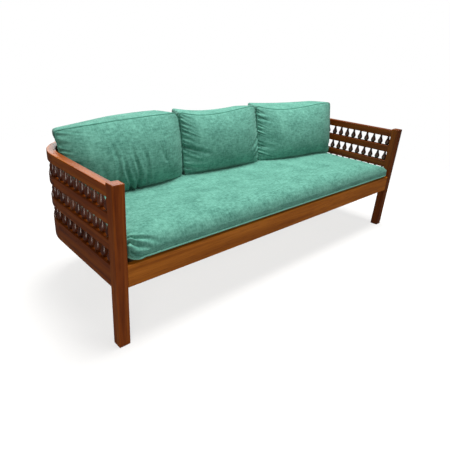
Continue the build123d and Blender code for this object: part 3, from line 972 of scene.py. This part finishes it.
def crease_back(piece, name, size):
    """Puckers, folds and the sunk seams of one back cushion."""
    flat = points_of(piece.data, "flat")
    front = flat[:, 1] < -PANEL_EDGE
    across = flat[:, 0] * size.x
    up = flat[:, 2] * size.z
    amount = numpy.zeros(len(flat))
    for side, reach, depth, pitch, seed in RUFFLES[name]:
        amount += ruffle(flat, size, side, reach, depth, pitch, seed)
    for start, stop, depth, width in FOLDS[name]:
        begin = (start[0] * size.x, start[1] * size.z)
        end = (stop[0] * size.x, stop[1] * size.z)
        amount += numpy.where(front, fold(across, up, begin, end, depth, width), 0.0)
    inward = (0.5 - numpy.abs(flat)) * numpy.array(size)
    rim = numpy.minimum(inward[:, 0], inward[:, 2])
    rim = numpy.where(numpy.abs(flat[:, 1]) > PANEL_EDGE, rim, inward[:, 1])
    amount -= SEAM_DEPTH * numpy.exp(-(rim / SEAM_WIDTH) ** 2)
    move_along_normals(piece.data, amount)


def refine_pinch(piece, size):
    """Divide the faces round the seat's left front corner again, so that they can take sharp folds."""
    mesh = bmesh.new()
    mesh.from_mesh(piece.data)
    flat = mesh.verts.layers.float_vector["flat"]
    right, rear, low = SEAT_PINCH
    inside = set()
    for vertex in mesh.verts:
        place = vertex[flat]
        if place.x * size.x < right and (place.y + 0.5) * size.y < rear and place.z > low:
            inside.add(vertex)
    edges = [edge for edge in mesh.edges if inside.issuperset(edge.verts)]
    bmesh.ops.subdivide_edges(mesh, edges=edges, cuts=1, use_grid_fill=True)
    mesh.to_mesh(piece.data)
    mesh.free()


def crease_seat(piece, size):
    """Soft sitting hollows and the folds at the seat's left front corner."""
    flat = points_of(piece.data, "flat")
    across = flat[:, 0] * size.x
    along = flat[:, 1] * size.y
    amount = numpy.zeros(len(flat))
    top = flat[:, 2] > PANEL_EDGE
    wide, deep = SEAT_UNEVEN_SCALE
    places = [Vector((x * wide, y * deep, SEAT_UNEVEN_SEED)) for x, y in zip(across[top], along[top])]
    uneven = [noise.noise(place) for place in places]
    inner = numpy.clip((0.5 - numpy.abs(flat[top, 1])) * SEAT_UNEVEN_FADE, 0, 1)
    amount[top] += SEAT_UNEVEN * numpy.array(uneven) * inner
    front = flat[:, 1] < -PANEL_EDGE
    up = numpy.where(front, (flat[:, 2] + 0.5) * SEAT_FRONT_RISE, SEAT_FRONT_RISE + along + size.y / 2)
    for start, stop, depth, width in SEAT_FOLDS:
        amount += numpy.where(front | top, fold(across, up, start, stop, depth, width), 0.0)
    move_along_normals(piece.data, amount)


def seam_line(piece, axis, level, proud=0.0):
    """The places round a cushion at one level of its flat box, in order and a little proud of the cloth."""
    mesh = bmesh.new()
    mesh.from_mesh(piece.data)
    mesh.verts.ensure_lookup_table()
    flat = mesh.verts.layers.float_vector["flat"]
    others = [other for other in range(3) if other != axis]

    def on_seam(place):
        """Whether a place of the flat box lies on the seam."""
        outward = max(abs(place[other]) for other in others)
        return abs(place[axis] - level) < SEAM_NEAR and outward > PANEL_EDGE

    seam = {vert for vert in mesh.verts if on_seam(vert[flat])}
    line = [min(seam, key=lambda vert: vert.index)]
    while True:
        steps = [edge.other_vert(line[-1]) for edge in line[-1].link_edges]
        ahead = [vert for vert in steps if vert in seam and vert not in line[-3:] and vert is not line[0]]
        if not ahead or len(line) > len(seam):
            break
        line.append(ahead[0])
    places = [vert.co + vert.normal * proud for vert in line]
    mesh.free()
    return places


def add_piping(name, places, body, radius, cloth):
    """A round welt sewn along a closed seam."""
    curve = bpy.data.curves.new(name, "CURVE")
    curve.dimensions = "3D"
    curve.bevel_depth = radius
    curve.bevel_resolution = 2
    spline = curve.splines.new("NURBS")
    spline.points.add(len(places) - 1)
    for point, place in zip(spline.points, places):
        point.co = (*place, 1.0)
    spline.use_cyclic_u = True
    spline.order_u = 3
    spline.resolution_u = 1
    holder = bpy.data.objects.new(name, curve)
    mesh = bpy.data.meshes.new_from_object(holder)
    bpy.data.objects.remove(holder)
    bpy.data.curves.remove(curve)
    mesh.name = name
    mesh.shade_smooth()
    mesh.materials.clear()
    mesh.materials.append(cloth)
    piece = bpy.data.objects.new(name, mesh)
    bpy.context.scene.collection.objects.link(piece)
    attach(piece, body)


def finish_cushion(piece, body, node_name):
    """Cover a filled cushion in fabric and hand it over."""
    piece.data.shade_smooth()
    piece.data.materials.clear()
    piece.data.materials.append(FABRIC)
    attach(piece, body)
    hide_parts(node_name)


def make_cushions():
    """The seat cushion and the three back cushions."""
    covers = make_covers()
    fill_covers(covers)
    low, high = seat_box()
    for piece in covers.values():
        refine(piece)
    refine_pinch(covers["seat"], high - low)
    crease_seat(covers["seat"], high - low)
    finish_cushion(covers["seat"], "seat", "seat_cushion")
    level = SEAT_PIPING_ROW / seat_counts()[2] - 0.5
    line = seam_line(covers["seat"], 2, level, SEAT_PIPING_PROUD)
    # the seat's piping is pale cloth, a painted highlight
    add_piping("seat_piping", line, "seat", SEAT_PIPING, SEAT_PIPING_HIGHLIGHT_FABRIC)
    for name, cushion in BACKS.items():
        crease_back(covers[name], name, back_size(cushion))
        finish_cushion(covers[name], f"back_{name}", f"back_cushion_{name}")
        for end, level in (("front", -0.5), ("rear", 0.5)):
            line = seam_line(covers[name], 1, level)
            # the back cushions' piping is darker cloth, painted shade along the seams
            add_piping(f"{end}_piping_{name}", line, f"back_{name}", PIPING, SHADED_PIPING_FABRIC)


def make_floor():
    """A plain pale floor that fades into the white surround, and that polished wood doesn't mirror."""
    material, tree, shader = new_material("pale_floor")
    place = node(tree, "TexCoord").outputs["Object"]
    cloud = node(tree, "TexNoise", Vector=place, Scale=0.8, Detail=2.0)
    dark, light = [[tone] * 3 for tone in FLOOR_TONES]
    paint = ramp(tree, cloud.outputs["Fac"], ((0.3, dark), (0.7, light)))
    tree.links.new(paint, shader.inputs["Base Color"])
    shader.inputs["Roughness"].default_value = 0.9
    shader.inputs["Specular IOR Level"].default_value = 0.1
    shader.inputs["Emission Color"].default_value = (1.0, 1.0, 1.0, 1.0)
    shader.inputs["Emission Strength"].default_value = FLOOR_GLOW
    away = node(tree, "VectorMath", {"operation": "LENGTH"}, _0=place).outputs["Value"]
    clear = node(tree, "BsdfTransparent").outputs["BSDF"]
    fade = ranged(tree, away, *FLOOR_FADE, FLOOR_CLEAR, 1.0)
    faded = node(tree, "MixShader", _0=fade, _1=shader.outputs["BSDF"], _2=clear).outputs["Shader"]
    tree.links.new(faded, tree.nodes["Material Output"].inputs["Surface"])
    bm = bmesh.new()
    bmesh.ops.create_grid(bm, x_segments=1, y_segments=1, size=FLOOR_FADE[1] + FLOOR_MARGIN)
    mesh = bpy.data.meshes.new("floor")
    bm.to_mesh(mesh)
    bm.free()
    mesh.materials.append(material)
    floor = bpy.data.objects.new("floor", mesh)
    floor.visible_glossy = False
    bpy.context.scene.collection.objects.link(floor)


def softbox(name, place, target, size, power, colour):
    """A square studio light turned towards a point."""
    data = bpy.data.lights.new(name, "AREA")
    data.shape = "SQUARE"
    data.size = size
    data.energy = power
    data.color = colour
    lamp = bpy.data.objects.new(name, data)
    lamp.location = place
    lamp.rotation_euler = (Vector(target) - Vector(place)).to_track_quat("-Z", "Y").to_euler()
    bpy.context.scene.collection.objects.link(lamp)


def make_studio():
    """Soft light from above, less from the front, left and behind, and white past a pale floor."""
    make_floor()
    for name, lamp in LAMPS.items():
        softbox(name, *lamp)
    world = bpy.data.worlds.new("studio")
    bpy.context.scene.world = world
    world.use_nodes = True
    tree = world.node_tree
    seen = node(tree, "LightPath").outputs["Is Camera Ray"]
    surround = tree.nodes["Background"]
    tree.links.new(ranged(tree, seen, 0.0, 1.0, SKY_LIGHT, 1.0), surround.inputs["Strength"])
    surround.inputs["Color"].default_value = (1.0, 1.0, 1.0, 1.0)


def make_camera():
    """The photograph's camera."""
    data = bpy.data.cameras.new("photo_camera")
    data.sensor_width = SENSOR
    data.lens = PHOTO_FOCAL * SENSOR / PHOTO_SIZE
    data.shift_x = (PHOTO_SIZE / 2 - PHOTO_CENTRE[0]) / PHOTO_SIZE
    data.shift_y = (PHOTO_CENTRE[1] - PHOTO_SIZE / 2) / PHOTO_SIZE
    camera = bpy.data.objects.new("photo_camera", data)
    camera.location = CAMERA_PLACE
    camera.rotation_euler = [math.radians(angle) for angle in CAMERA_TURN]
    bpy.context.scene.collection.objects.link(camera)
    bpy.context.scene.camera = camera


make_camera()
make_studio()
make_posts()
make_rails()
make_spindles()
make_deck_finish()
make_cushions()
bpy.context.scene.view_settings.view_transform = "Standard"
